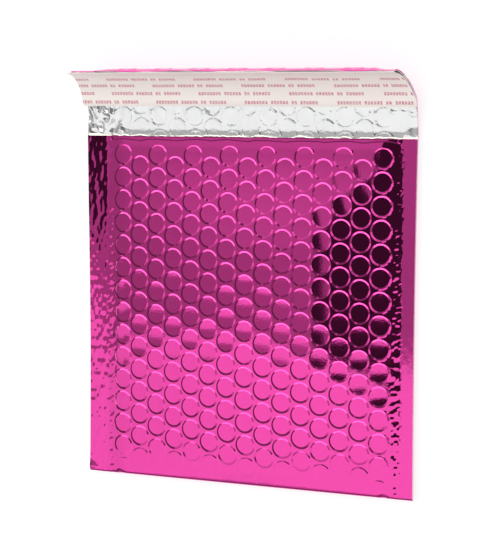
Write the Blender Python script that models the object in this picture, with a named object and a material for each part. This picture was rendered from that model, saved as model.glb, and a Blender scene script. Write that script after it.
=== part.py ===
"""Padded mailing envelope, lying on its back with its flap open.

A metallised film is folded once at the bottom and laminated outside a bubble lining, whose two
walls are heat-sealed together along the left and right edges. The back wall is longer than the
front one and makes the flap, which carries an adhesive strip under a peel-off release liner.
"""

import math

import bmesh
import bpy
from mathutils import Vector
from mathutils.geometry import delaunay_2d_cdt

# Outline, in metres: x runs across, y from the bottom fold to the mouth, z up from the table
BODY_WIDTH = 0.180
BODY_HEIGHT = 0.178
FLAP_LENGTH = 0.043
LEFT_SEAL = 0.011
RIGHT_SEAL = 0.007
SHOULDER = 0.0042

# Layers
FILM = 0.0003
LINING = 0.0011
SEALED_LINING = 0.0004
LAYER_GAP = 0.0003
LIP_LINING = 0.0008
LIP_TAPER = 0.006
LINING_LIP = 0.0006

# Pocket between the two lining walls
POCKET_GAP = 0.0054

# Bubbles: columns run from the fold to the mouth, every second one is half a pitch higher
BUBBLE_PITCH = 0.01175
BUBBLE_DIAMETER = 0.0100
BUBBLE_RELIEF = 0.0007
INNER_RELIEF = 0.0004
BUBBLE_COLUMNS = 15
LATTICE_X = 0.0017
FRONT_ROW_Y = 0.0088
BACK_ROW_Y = 0.0051
FRONT_SIDES = 8
BACK_SIDES = 6
BUBBLE_MARGIN = 0.0012
FLAP_BUBBLE_START = 0.0052

# Flap: it leans up from the mouth, then curls towards the front
LEAN = math.radians(9)
CURL = math.radians(64)
LEAN_RUN = 0.007
CURL_START = 0.016
CURL_END = 0.036

# Closure
LINER_START = 0.0155
LINER_WIDTH = 0.0215
LINER_OVERHANG = 0.0023
LINER_THICKNESS = 0.0003
ADHESIVE_MARGIN = 0.0025
ADHESIVE_THICKNESS = 0.0003

# Tessellation of the smooth faces
ACROSS_CELLS = 9
BODY_ROWS = 6
FLAP_ROWS = 10
FOLD_STEPS = 6
PATH_STEPS = 400
STRIP_ROWS = 9
DOME_POWER_ACROSS = 4
DOME_POWER_ALONG = 3
SHARP_ANGLE = math.radians(35)
WELD = 1e-5

FOLD_REACH = LINING + LAYER_GAP + FILM
LEFT_EDGE = -BODY_WIDTH / 2
RIGHT_EDGE = BODY_WIDTH / 2
LEFT_SEAM = LEFT_EDGE + LEFT_SEAL
RIGHT_SEAM = RIGHT_EDGE - RIGHT_SEAL
MOUTH = BODY_HEIGHT / 2
POCKET_END = -MOUTH + FOLD_REACH
LINING_MOUTH = MOUTH + LINING_LIP
TIP = MOUTH + FLAP_LENGTH
FLOOR = FOLD_REACH + BUBBLE_RELIEF


def smooth(t):
    """A step from 0 to 1 with no slope at either end."""
    t = min(1.0, max(0.0, t))
    return t * t * (3 - 2 * t)


def shoulder(x):
    """0 in a side seal, 1 where the wall has its full thickness."""
    inside = min(x - LEFT_SEAM, RIGHT_SEAM - x)
    return min(1.0, max(0.0, inside / SHOULDER))


def dome_across(x):
    """Share of the pocket's gap that is left at x: none at a seam."""
    half = (RIGHT_SEAM - LEFT_SEAM) / 2
    from_middle = abs(x - (LEFT_SEAM + RIGHT_SEAM) / 2) / half
    return max(0.0, 1 - from_middle**DOME_POWER_ACROSS)


def dome_along(y):
    """Share of the pocket's gap that is left at y: none at the fold, all of it at the mouth."""
    from_middle = max(0.0, y / POCKET_END)
    return max(0.0, 1 - from_middle**DOME_POWER_ALONG)


def wall(x):
    """Thickness of one lining wall at x."""
    return SEALED_LINING / 2 + (LINING - SEALED_LINING / 2) * shoulder(x)


def front_wall(x, y):
    """The front wall is pressed thinner along its cut edge at the mouth."""
    pressed = smooth((y - MOUTH + LIP_TAPER) / LIP_TAPER)
    return wall(x) - max(0.0, wall(x) - LIP_LINING) * pressed


def flap_path():
    """Points (run, rise, angle) of the flap's inner face, evenly spaced along it."""
    step = FLAP_LENGTH / PATH_STEPS
    run, rise, path = 0.0, 0.0, []
    for k in range(PATH_STEPS + 1):
        along = k * step
        bend = min(1.0, max(0.0, (along - CURL_START) / (CURL_END - CURL_START)))
        angle = LEAN * smooth(along / LEAN_RUN) + (CURL - LEAN) * bend
        path.append((run, rise, angle))
        run += math.cos(angle) * step
        rise += math.sin(angle) * step
    return path


FLAP_PATH = flap_path()


def front_point(x, y, height):
    """A point of the front wall, height above its inner face."""
    gap = POCKET_GAP * dome_across(x) * dome_along(y)
    return Vector((x, y, FLOOR + gap + height))


def back_point(x, along, depth):
    """A point of the back wall or the flap, depth below its inner face."""
    if along <= MOUTH:
        return Vector((x, along, FLOOR - depth))
    place = (along - MOUTH) / FLAP_LENGTH * PATH_STEPS
    low = min(int(place), PATH_STEPS - 1)
    part = place - low
    run, rise, angle = (
        a + (b - a) * part for a, b in zip(FLAP_PATH[low], FLAP_PATH[low + 1])
    )
    y = MOUTH + run + math.sin(angle) * depth
    return Vector((x, y, FLOOR + rise - math.cos(angle) * depth))


def even(start, end, cells):
    return [start + (end - start) * k / cells for k in range(cells + 1)]


INNER_X = [
    LEFT_SEAM,
    *even(LEFT_SEAM + SHOULDER, RIGHT_SEAM - SHOULDER, ACROSS_CELLS),
    RIGHT_SEAM,
]
ALL_X = [LEFT_EDGE, *INNER_X, RIGHT_EDGE]
BODY_Y = even(POCKET_END, MOUTH, BODY_ROWS)
FLAP_Y = even(LINING_MOUTH, TIP, FLAP_ROWS)


def bubble_centres(row_y, low, high):
    """Centres of the bubbles whose middles lie between low and high."""
    column_step = BUBBLE_PITCH * math.sqrt(3) / 2
    for column in range(BUBBLE_COLUMNS):
        x = LATTICE_X + (column - BUBBLE_COLUMNS // 2) * column_step
        shifted = row_y + BUBBLE_PITCH / 2 * (column % 2)
        first = math.ceil((low - shifted) / BUBBLE_PITCH)
        last = math.floor((high - shifted) / BUBBLE_PITCH)
        for row in range(first, last + 1):
            yield x, shifted + row * BUBBLE_PITCH


def clipped(a, b, box):
    """The stretch of the line from a to b that lies in the box, or None."""
    start, end = 0.0, 1.0
    for axis in (0, 1):
        step = b[axis] - a[axis]
        for side, sign in ((box[0][axis], 1), (box[1][axis], -1)):
            before, change = sign * (a[axis] - side), sign * step
            if abs(change) < WELD / 10:
                if before < 0:
                    return None
            elif change > 0:
                start = max(start, -before / change)
            else:
                end = min(end, -before / change)
    if end - start < WELD:
        return None
    return [tuple(a[k] + (b[k] - a[k]) * t for k in (0, 1)) for t in (start, end)]


class Outline:
    """Flat points and edges of one sheet, which become a triangulated patch of it."""

    def __init__(self):
        self.points = []
        self.edges = []

    def line(self, path, closed=False):
        first = len(self.points)
        self.points += path
        pairs = [(first + k, first + k + 1) for k in range(len(path) - 1)]
        if closed:
            pairs.append((first + len(path) - 1, first))
        self.edges += pairs

    def patch(self, place):
        """Triangles whose corners place() has put in space."""
        flat, _, faces, *_ = delaunay_2d_cdt(
            [Vector(p) for p in self.points], self.edges, [], 0, WELD / 10
        )
        corners = [place(p.x, p.y) for p in flat]
        return [[corners[k] for k in face] for face in faces]


def bubbled(across, along, row_y, sides, field, place, raised):
    """A patch with a bubble's flat top at each lattice point of the field, and grooves between.

    place(x, y) gives the groove's level, and raised(centre, x, y) the level of a bubble's top.
    """
    (field_left, field_low), (field_right, field_high) = field
    outline = Outline()
    rim = [(x, along[0]) for x in across]
    rim += [(across[-1], y) for y in along[1:]]
    rim += [(x, along[-1]) for x in reversed(across[:-1])]
    rim += [(across[0], y) for y in reversed(along[1:-1])]
    outline.line(rim, closed=True)
    for x in (LEFT_SEAM, field_left, field_right, RIGHT_SEAM):
        outline.line([(x, y) for y in along])
    for y in along[1:-1]:
        if not field_low < y < field_high:
            outline.line([(x, y) for x in across])
    tops = {}
    corner = BUBBLE_PITCH / math.sqrt(3)
    reach = BUBBLE_DIAMETER / 2 - BUBBLE_MARGIN
    for x, y in bubble_centres(row_y, field_low - corner, field_high + corner):
        cell = [
            (x + corner * math.cos(math.pi * k / 3), y + corner * math.sin(math.pi * k / 3))
            for k in range(4)
        ]
        for a, b in zip(cell, cell[1:]):
            stretch = clipped(a, b, field)
            if stretch:
                outline.line(stretch)
        if not field_low + reach / 2 < y < field_high - reach / 2:
            continue
        ring = []
        for k in range(sides):
            turn = 2 * math.pi * (k + 0.5) / sides
            ring_y = y + BUBBLE_DIAMETER / 2 * math.sin(turn)
            ring_y = min(field_high - BUBBLE_MARGIN / 2, max(field_low + BUBBLE_MARGIN / 2, ring_y))
            ring.append((x + BUBBLE_DIAMETER / 2 * math.cos(turn), ring_y))
        outline.line(ring, closed=True)
        tops.update({(round(px / WELD), round(py / WELD)): (x, y) for px, py in ring})

    def level(x, y):
        key_x, key_y = round(x / WELD), round(y / WELD)
        for near in ((0, 0), (1, 0), (-1, 0), (0, 1), (0, -1)):
            centre = tops.get((key_x + near[0], key_y + near[1]))
            if centre:
                return raised(centre, x, y)
        return place(x, y)

    return outline.patch(level)


def grid(across, along, place):
    """Quads over every cell of the two lists."""
    return [
        [place(x0, y0), place(x1, y0), place(x1, y1), place(x0, y1)]
        for x0, x1 in zip(across, across[1:])
        for y0, y1 in zip(along, along[1:])
    ]


def strip(one, other):
    """Quads between two paths with as many points each."""
    pairs = list(zip(one, other))
    return [[a, b, d, c] for (a, b), (c, d) in zip(pairs, pairs[1:])]


def fold_arc(x, height, reach):
    """Half-round from the front wall to the back one at x, reach beyond the pocket's end."""
    top = front_point(x, POCKET_END, height)
    bottom = back_point(x, POCKET_END, height)
    middle, half = (top.z + bottom.z) / 2, (top.z - bottom.z) / 2
    turns = [math.pi * k / FOLD_STEPS for k in range(FOLD_STEPS + 1)]
    return [
        Vector((x, POCKET_END - reach * math.sin(turn), middle + half * math.cos(turn)))
        for turn in turns
    ]


def fold_band(heights, reach):
    """The round outside of one layer at the bottom fold."""
    arcs = [fold_arc(x, heights(x), reach) for x in ALL_X]
    return [quad for a, b in zip(arcs, arcs[1:]) for quad in strip(a, b)]


def material(name, colour, roughness, metallic):
    made = bpy.data.materials.new(name)
    made.use_nodes = True
    shader = made.node_tree.nodes["Principled BSDF"]
    shader.inputs["Base Color"].default_value = (*colour, 1.0)
    shader.inputs["Roughness"].default_value = roughness
    shader.inputs["Metallic"].default_value = metallic
    return made


def solid(name, faces, finish, parent):
    """One closed body made of all the faces, which meet at shared corners."""
    shape = bmesh.new()
    for corners in faces:
        shape.faces.new([shape.verts.new(c) for c in corners])
    bmesh.ops.remove_doubles(shape, verts=shape.verts, dist=WELD)
    bmesh.ops.dissolve_degenerate(shape, edges=shape.edges, dist=WELD)
    bmesh.ops.recalc_face_normals(shape, faces=shape.faces)
    mesh = bpy.data.meshes.new(name)
    shape.to_mesh(mesh)
    shape.free()
    mesh.shade_smooth()
    mesh.set_sharp_from_angle(angle=SHARP_ANGLE)
    mesh.materials.append(finish)
    made = bpy.data.objects.new(name, mesh)
    bpy.context.scene.collection.objects.link(made)
    made.parent = parent
    return made


def film_outside(x):
    return wall(x) + LAYER_GAP + FILM


def film_inside(x):
    return wall(x) + LAYER_GAP


def front_film(x, y, outward):
    return front_point(x, y, front_wall(x, y) + LAYER_GAP + outward)


def front_bubble_top(centre, x, y):
    """Bubble tops are flat and lie along the front wall's slope at their middle."""
    step = BUBBLE_DIAMETER / 4
    cx, cy = centre
    here = front_film(cx, cy, FILM + BUBBLE_RELIEF)
    slope_x = (front_film(cx + step, cy, FILM).z - front_film(cx - step, cy, FILM).z) / step / 2
    slope_y = (front_film(cx, cy + step, FILM).z - front_film(cx, cy - step, FILM).z) / step / 2
    return Vector((x, y, here.z + slope_x * (x - cx) + slope_y * (y - cy)))


def outer_film(parent):
    """The metallised film: one web, folded at the bottom, with every bubble showing through."""
    web_y = BODY_Y + FLAP_Y
    field_left = LEFT_SEAM + SHOULDER
    field_right = RIGHT_SEAM - SHOULDER
    front_high = MOUTH - BUBBLE_MARGIN
    field_low = POCKET_END + BUBBLE_MARGIN

    def back_bubble_top(_, x, y):
        return back_point(x, y, film_outside(x) + BUBBLE_RELIEF)

    faces = bubbled(
        ALL_X,
        BODY_Y,
        FRONT_ROW_Y,
        FRONT_SIDES,
        ((field_left, field_low), (field_right, front_high)),
        lambda x, y: front_film(x, y, FILM),
        front_bubble_top,
    )
    faces += bubbled(
        ALL_X,
        web_y,
        BACK_ROW_Y,
        BACK_SIDES,
        ((field_left, field_low), (field_right, TIP - BUBBLE_MARGIN)),
        lambda x, y: back_point(x, y, film_outside(x)),
        back_bubble_top,
    )
    faces += grid(ALL_X, BODY_Y, lambda x, y: front_film(x, y, 0))
    faces += grid(ALL_X, web_y, lambda x, y: back_point(x, y, film_inside(x)))
    faces += fold_band(film_outside, FOLD_REACH)
    faces += fold_band(film_inside, FOLD_REACH - FILM)
    faces += strip(
        [front_film(x, MOUTH, FILM) for x in ALL_X], [front_film(x, MOUTH, 0) for x in ALL_X]
    )
    faces += strip(
        [back_point(x, TIP, film_outside(x)) for x in ALL_X],
        [back_point(x, TIP, film_inside(x)) for x in ALL_X],
    )
    for x in (LEFT_EDGE, RIGHT_EDGE):
        outside, inside = film_outside(x), film_inside(x)
        faces += strip([front_film(x, y, FILM) for y in BODY_Y], [front_film(x, y, 0) for y in BODY_Y])
        faces += strip(
            [back_point(x, y, outside) for y in web_y], [back_point(x, y, inside) for y in web_y]
        )
        faces += strip(fold_arc(x, outside, FOLD_REACH), fold_arc(x, inside, FOLD_REACH - FILM))
    finish = material("pink_film", (0.82, 0.07, 0.38), 0.18, 1.0)
    return solid("outer_film", faces, finish, parent)


def bubble_lining(parent):
    """The bubble lining: a sleeve sealed at both sides, open at the mouth, with its flap."""
    body_y = [*BODY_Y, LINING_MOUTH]
    web_y = BODY_Y + FLAP_Y

    def front_outside(x, y):
        return front_point(x, y, front_wall(x, y))

    def flap_bubble_top(_, x, y):
        return back_point(x, y, -INNER_RELIEF)

    faces = grid(ALL_X, body_y, front_outside)
    faces += grid(ALL_X, web_y, lambda x, y: back_point(x, y, wall(x)))
    faces += fold_band(wall, LINING)
    faces += grid(INNER_X, body_y, lambda x, y: front_point(x, y, 0))
    faces += grid(INNER_X, body_y, lambda x, y: back_point(x, y, 0))
    faces += bubbled(
        ALL_X,
        FLAP_Y,
        BACK_ROW_Y,
        BACK_SIDES,
        (
            (LEFT_SEAM + SHOULDER, MOUTH + FLAP_BUBBLE_START),
            (RIGHT_SEAM - SHOULDER, MOUTH + LINER_START - LAYER_GAP),
        ),
        lambda x, y: back_point(x, y, 0),
        flap_bubble_top,
    )
    faces += strip(
        [front_outside(x, LINING_MOUTH) for x in INNER_X],
        [front_point(x, LINING_MOUTH, 0) for x in INNER_X],
    )
    faces += strip(
        [back_point(x, TIP, wall(x)) for x in ALL_X], [back_point(x, TIP, 0) for x in ALL_X]
    )
    for edge, seam in ((LEFT_EDGE, LEFT_SEAM), (RIGHT_EDGE, RIGHT_SEAM)):
        faces += strip(
            [front_outside(edge, y) for y in BODY_Y],
            [back_point(edge, y, wall(edge)) for y in BODY_Y],
        )
        faces.append(
            [
                front_outside(edge, MOUTH),
                front_outside(edge, LINING_MOUTH),
                back_point(edge, LINING_MOUTH, 0),
                back_point(edge, LINING_MOUTH, wall(edge)),
                back_point(edge, MOUTH, wall(edge)),
            ]
        )
        faces += strip(
            [back_point(edge, y, wall(edge)) for y in FLAP_Y],
            [back_point(edge, y, 0) for y in FLAP_Y],
        )
        faces += strip(
            [front_outside(x, LINING_MOUTH) for x in (edge, seam)],
            [back_point(x, LINING_MOUTH, 0) for x in (edge, seam)],
        )
        faces.append(fold_arc(edge, wall(edge), LINING))
    finish = material("silver_lining", (0.80, 0.82, 0.82), 0.32, 0.6)
    return solid("bubble_lining", faces, finish, parent)


def flap_strip(name, left, right, start, width, bottom, thickness, finish, parent):
    """A thin strip that follows the flap, bottom above the lining's inner face."""
    along = even(MOUTH + start, MOUTH + start + width, STRIP_ROWS)
    across = [left, right]

    def low(x, y):
        return back_point(0, y, -bottom) + Vector((x, 0, 0))

    def high(x, y):
        return back_point(0, y, -bottom - thickness) + Vector((x, 0, 0))

    faces = grid(across, along, low) + grid(across, along, high)
    for x in across:
        faces += strip([low(x, y) for y in along], [high(x, y) for y in along])
    for y in (along[0], along[-1]):
        faces += strip([low(x, y) for x in across], [high(x, y) for x in across])
    return solid(name, faces, finish, parent)


def adhesive_strip(parent):
    finish = material("adhesive", (0.86, 0.84, 0.76), 0.35, 0.0)
    return flap_strip(
        "adhesive_strip",
        LEFT_EDGE + ADHESIVE_MARGIN,
        RIGHT_EDGE - ADHESIVE_MARGIN,
        LINER_START + ADHESIVE_MARGIN,
        LINER_WIDTH - 2 * ADHESIVE_MARGIN,
        LAYER_GAP,
        ADHESIVE_THICKNESS,
        finish,
        parent,
    )


def release_liner(parent):
    """The peel-off strip, cut longer than the flap is wide so that its left end stands out."""
    finish = material("release_liner", (0.88, 0.80, 0.78), 0.45, 0.0)
    return flap_strip(
        "release_liner",
        LEFT_EDGE - LINER_OVERHANG,
        RIGHT_EDGE,
        LINER_START,
        LINER_WIDTH,
        2 * LAYER_GAP + ADHESIVE_THICKNESS,
        LINER_THICKNESS,
        finish,
        parent,
    )


def main():
    for old in list(bpy.data.objects):
        bpy.data.objects.remove(old)
    envelope = bpy.data.objects.new("envelope", None)
    bpy.context.scene.collection.objects.link(envelope)
    film = outer_film(envelope)
    lining = bubble_lining(envelope)
    adhesive_strip(envelope)
    liner = release_liner(envelope)
    # The row's origin is under the middle of the whole outline
    corners = [v.co for piece in (film, lining, liner) for v in piece.data.vertices]
    middle = [(min(c[k] for c in corners) + max(c[k] for c in corners)) / 2 for k in (0, 1)]
    envelope.location = (-middle[0], -middle[1], 0)


main()
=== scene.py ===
"""Looks of the padded envelope: embossed pink foil, silvery bubble lining and the printed release liner.

The envelope lies on its back on a white floor. Sizes here are in millimetres in the envelope's own
flat frame: x runs across from the body's middle, y from the bottom fold to the mouth, z up.
"""

import math

import bmesh
import bpy
import numpy as np
from mathutils import Matrix, Vector
from mathutils.geometry import delaunay_2d_cdt

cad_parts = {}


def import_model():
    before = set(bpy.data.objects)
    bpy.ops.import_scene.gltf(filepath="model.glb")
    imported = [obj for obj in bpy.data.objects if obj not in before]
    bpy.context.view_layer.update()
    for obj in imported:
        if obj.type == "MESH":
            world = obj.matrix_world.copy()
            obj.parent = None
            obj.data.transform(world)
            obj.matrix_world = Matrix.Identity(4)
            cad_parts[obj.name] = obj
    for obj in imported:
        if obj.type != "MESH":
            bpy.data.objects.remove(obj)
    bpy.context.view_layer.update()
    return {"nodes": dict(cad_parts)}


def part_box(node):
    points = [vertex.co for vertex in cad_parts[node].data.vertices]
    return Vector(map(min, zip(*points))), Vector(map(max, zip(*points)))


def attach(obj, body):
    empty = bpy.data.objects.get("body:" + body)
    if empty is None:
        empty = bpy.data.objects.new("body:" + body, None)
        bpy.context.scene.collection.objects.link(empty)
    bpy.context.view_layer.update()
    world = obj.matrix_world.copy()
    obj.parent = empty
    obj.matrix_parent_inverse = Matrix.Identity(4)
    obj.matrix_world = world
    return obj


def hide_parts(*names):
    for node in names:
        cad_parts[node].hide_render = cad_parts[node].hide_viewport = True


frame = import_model()

MM = 0.001

# Outline and layers, as the solids have them
BODY_HEIGHT = 178.0
FLAP_LENGTH = 43.0
LEFT_SEAL = 11.0
RIGHT_SEAL = 7.0
FILM = 0.3
LINING = 1.1
SEALED_LINING = 0.4
LAYER_GAP = 0.3
LIP_LINING = 0.8
LIP_TAPER = 6.0
LINING_LIP = 0.6
POCKET_GAP = 5.4
CAD_RELIEF = 0.7
DOME_POWER_ALONG = 3
LEAN = math.radians(9)
CURL = math.radians(64)
LEAN_RUN = 7.0
CURL_START = 16.0
CURL_END = 36.0
LINER_START = 15.5
LINER_WIDTH = 21.5
LINER_OVERHANG = 2.3
LINER_THICKNESS = 0.3
ADHESIVE_THICKNESS = 0.3

# Bubble lattice, as the solids have it
PITCH = 11.75
COLUMNS = 15
LATTICE_X = 1.7
FRONT_ROW_Y = 8.8
BACK_ROW_Y = 5.1

# Form of one embossed bubble: rings of points as (radius, share of the relief, points round)
TOP_RADIUS = 4.58
MID_RADIUS = 5.015
FOOT_RADIUS = 5.45
HIGH_CAP_SHIFT = (0.25, 0.15)
LOW_CAP_SHIFT = (0.08, 0.32)
RELIEF = 0.41
DISH = 0.055
TILT = 0.004
FRONT_RINGS = ((1.7, 1, 12), (3.3, 1, 20), (TOP_RADIUS, 1, 32), (MID_RADIUS, 0.5, 32), (FOOT_RADIUS, 0, 32))
BACK_RINGS = ((2.5, 1, 8), (TOP_RADIUS, 1, 18), (FOOT_RADIUS, 0, 18))
CREASED_RADII = (TOP_RADIUS, FOOT_RADIUS)
LOWEST_ROW = -20
SQUEEZE = 0.03

# The tops change from the low shift to the high one over this run, and the bubbles flatten out
# beside both seals, at the mouth, at the fold and at the flap's tip
CAP_TURN_START = -35.0
CAP_TURN_RUN = 40.0
LEFT_FADE = 6.0
RIGHT_FADE = 5.0
MOUTH_FADE_END = 3.0
MOUTH_FADE = 4.5
FOLD_FADE_END = 2.0
FOLD_FADE = 30.0
TIP_FADE_END = 0.6
TIP_FADE = 4.0
BACK_FADE_END = 5.0
BACK_FADE = 16.0

# Pillow: the shoulders are wider and the front rounder across than in the solids
SHOULDER = 11.0
DOME_POWER_ACROSS = 2.0
WAIST = 0.006
MOUTH_DROP = 0.7
DROP_START = 28.0
UNDULATION = 0.04
UNDULATION_LENGTH = 45.0
UNDULATION_FADE = 20.0

# Left seal: it curls up towards the mouth, and its lowest corner is folded up
LEFT_SEAL_CURL = 1.65
SEAL_CURL_START = -45.0
SEAL_CURL_RUN = 130.0
SEAL_CURL_PAST_MOUTH = 13.0
LOW_CORNER_CURL = 0.9
LOW_CORNER_SHARE = 0.25
LOW_CORNER_REACH = 9.0

# Flap: its right corner is bent in, and its tip is thin, curls further and is bent over in waves.
# The gap is the share of the layers' gap that is left at the tip
CORNER_WIDTH = 16.0
CORNER_BEND = 6.0
CORNER_START = 20.0
TIP_CURL = math.radians(36)
TIP_TAPER = 3.0
TIP_LINING = 0.4
TIP_GAP = 0.15
TIP_WAVE = 0.3
TIP_WAVE_LENGTH = 8.0
TIP_WAVE_RUN = 4.0
TIP_OVER = 0.5
TIP_OVER_LENGTH = 10.0
TIP_OVER_RUN = 3.5
LINING_SHORTFALL = 0.2

# The mouth: a scalloped step a little below the edge, and an edge that stands up, both of which fade
# out before they reach the seals
STEP_HEIGHT = 0.4
STEP_RUN = 0.62
STEP_DEPTH = 2.3
STEP_SAG = 0.8
STEP_WAVE = 0.3
STEP_WAVE_LENGTH = 5.0
EDGE_HEIGHT = 0.3
EDGE_RUN = 0.45
MOUTH_END = 1.0
MOUTH_END_RUN = 3.0
MOUTH_SPACING = 0.45

film_low, film_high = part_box("outer_film")
LEFT_EDGE = (film_low[0] - film_high[0]) / MM / 2
RIGHT_EDGE = -LEFT_EDGE
MIDDLE = Vector(((film_low[0] + film_high[0]) / 2, film_low[1] + BODY_HEIGHT / 2 * MM, 0))
MOUTH = BODY_HEIGHT / 2
FOLD_REACH = LINING + LAYER_GAP + FILM
POCKET_END = -MOUTH + FOLD_REACH
LEFT_SEAM = LEFT_EDGE + LEFT_SEAL
RIGHT_SEAM = RIGHT_EDGE - RIGHT_SEAL
FLOOR = FOLD_REACH + CAD_RELIEF
TIP = MOUTH + FLAP_LENGTH
LINING_MOUTH = MOUTH + LINING_LIP

# The film's web runs from the front's mouth down to the fold, and up the back to the flap's tip
WEB_FOLD = MOUTH - POCKET_END
WEB_BACK = WEB_FOLD + math.pi * FOLD_REACH
WEB_TIP = WEB_BACK + TIP - POCKET_END

# Where bubbles are centred on the front, and on the back with its flap, and the free band at the mouth
FRONT_SPAN = (POCKET_END + 2, MOUTH - 9)
BACK_SPAN = (POCKET_END + 3, TIP + 2)
MOUTH_BAND = 3.5


def smooth(t):
    """A step from 0 to 1 with no slope at either end."""
    t = np.clip(t, 0.0, 1.0)
    return t * t * (3 - 2 * t)


def scattered(column, row, seed):
    """A fixed random number from 0 to 1 for each pair of whole numbers."""
    mask = 0xFFFFFFFF
    mixed = (column.astype(np.int64) * 374761393 + row.astype(np.int64) * 668265263 + seed * 144665) & mask
    mixed = ((mixed ^ (mixed >> 13)) * 1274126177) & mask
    return ((mixed ^ (mixed >> 16)) & mask) / mask


def noise(x, y, seed):
    """Smooth noise from -1 to 1, about one bump for each unit of x and y."""
    column, row = np.floor(x), np.floor(y)
    across, along = smooth(x - column), smooth(y - row)
    low = scattered(column, row, seed) * (1 - across) + scattered(column + 1, row, seed) * across
    high = scattered(column, row + 1, seed) * (1 - across) + scattered(column + 1, row + 1, seed) * across
    return 2 * (low * (1 - along) + high * along) - 1


def creases(x, y, seed):
    """Noise folded into sharp ridges, from 0 in the valleys to 1 on the ridges."""
    return 1 - np.abs(noise(x, y, seed))


def wall(x):
    """Thickness of one lining wall, thin where it is sealed."""
    inside = np.minimum(x - LEFT_SEAM, RIGHT_SEAM - x) / SHOULDER
    return SEALED_LINING / 2 + (LINING - SEALED_LINING / 2) * smooth(inside)


def pocket_gap(x, y):
    """Height of the pocket between the lining's two walls."""
    half = (RIGHT_SEAM - LEFT_SEAM) / 2
    from_middle = np.abs(x - (LEFT_SEAM + RIGHT_SEAM) / 2) / half
    across = np.maximum(0, 1 - from_middle**DOME_POWER_ACROSS)
    along = 1 - np.maximum(0, y / POCKET_END) ** DOME_POWER_ALONG
    towards_mouth = 1 - MOUTH_DROP * smooth((y - DROP_START) / (MOUTH - DROP_START))
    return POCKET_GAP * across * np.maximum(0, along) * towards_mouth


def flap_wall(x, along):
    """Thickness of the lining on the back and flap, thinner at the tip."""
    at_tip = smooth((along - TIP + TIP_TAPER) / TIP_TAPER)
    return wall(x) - np.maximum(0, wall(x) - TIP_LINING) * at_tip


def front_wall(x, y):
    """Thickness of the lining's front wall, thinner at its lip."""
    pressed = smooth((y - MOUTH + LIP_TAPER) / LIP_TAPER)
    return wall(x) - np.maximum(0, wall(x) - LIP_LINING) * pressed


def undulation(x, y):
    """Slow unevenness of the front wall, none where it is sealed."""
    inside = smooth(np.minimum(x - LEFT_SEAM, RIGHT_SEAM - x) / UNDULATION_FADE)
    start = 7
    return UNDULATION * inside * noise(x / UNDULATION_LENGTH + start, y / UNDULATION_LENGTH + start, 3)


def corner_bend(x, past):
    """How far the flap's right corner is bent in, past the mouth by past."""
    near = np.maximum(0, x - RIGHT_EDGE + CORNER_WIDTH) / CORNER_WIDTH
    return CORNER_BEND * near * np.clip((past - CORNER_START) / (FLAP_LENGTH - CORNER_START), 0, 1)


def pulled_in(x, y):
    """The sides draw in a little at mid-height, where the walls bulge."""
    return x * (1 - WAIST * np.maximum(0, 1 - (y / MOUTH) ** 2))


def seal_curl(x, y):
    """How far the left seal turns up, beside the mouth and at its lowest corner."""
    along = smooth((y - SEAL_CURL_START) / SEAL_CURL_RUN)
    along = along * (1 - smooth((y - MOUTH) / SEAL_CURL_PAST_MOUTH))
    across = np.maximum(0, LEFT_SEAM - x) / LEFT_SEAL
    corner = np.clip(across - LOW_CORNER_SHARE - (y + MOUTH) / LOW_CORNER_REACH, 0, 1)
    return LEFT_SEAL_CURL * along * across + LOW_CORNER_CURL * corner


def step_web(x):
    """How far below the mouth's edge the middle of the scalloped step runs."""
    period = PITCH * math.sqrt(3)
    scallop = STEP_SAG * np.abs(np.sin(math.pi * (x - LATTICE_X) / period))
    return STEP_DEPTH - scallop + STEP_WAVE * noise(x / STEP_WAVE_LENGTH, x * 0, 71)


def mouth_form(x, y):
    """The front's step and standing edge, no more than a few tenths high."""
    free = smooth((np.minimum(x - LEFT_SEAM, RIGHT_SEAM - x) - MOUTH_END) / MOUTH_END_RUN)
    web = MOUTH - y
    step = STEP_HEIGHT * np.clip((step_web(x) - web) / STEP_RUN + 0.5, 0, 1)
    edge = EDGE_HEIGHT * np.clip(1 - web / EDGE_RUN, 0, 1)
    return free * (step + edge)


def mouth_rows():
    """Points (x, web, crease) along the crisp lines of the mouth, with one crease number for each line.

    The numbers end in a half, so that none is the crease number of a bubble.
    """
    x = np.arange(LEFT_SEAM + MOUTH_END + 0.2, RIGHT_SEAM - MOUTH_END, MOUTH_SPACING)
    rows = (
        np.full(len(x), EDGE_RUN),
        step_web(x) - STEP_RUN / 2,
        step_web(x) + STEP_RUN / 2,
    )
    found = [np.stack([x, web, np.full(len(x), -0.5 - number)], axis=1) for number, web in enumerate(rows)]
    return np.concatenate(found)


def flap_path():
    """The flap's inner face from the mouth to the tip: how far along, out and up, and its angle."""
    steps = 400
    step = FLAP_LENGTH / steps
    along = np.arange(steps + 1) * step
    bend = np.clip((along - CURL_START) / (CURL_END - CURL_START), 0, 1)
    tip_bend = np.clip((along - CURL_END) / (FLAP_LENGTH - CURL_END), 0, 1)
    angle = LEAN * smooth(along / LEAN_RUN) + (CURL - LEAN) * bend + TIP_CURL * tip_bend
    run = np.concatenate([[0], np.cumsum(np.cos(angle) * step)[:-1]])
    rise = np.concatenate([[0], np.cumsum(np.sin(angle) * step)[:-1]])
    return along, run, rise, angle


PATH_ALONG, PATH_RUN, PATH_RISE, PATH_ANGLE = flap_path()


def front_place(x, y, height):
    """Places on the front wall, height above its inner face."""
    z = FLOOR + pocket_gap(x, y) + undulation(x, y) + seal_curl(x, y) + mouth_form(x, y) + height
    return np.stack([pulled_in(x, y), y, z], axis=1)


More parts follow.
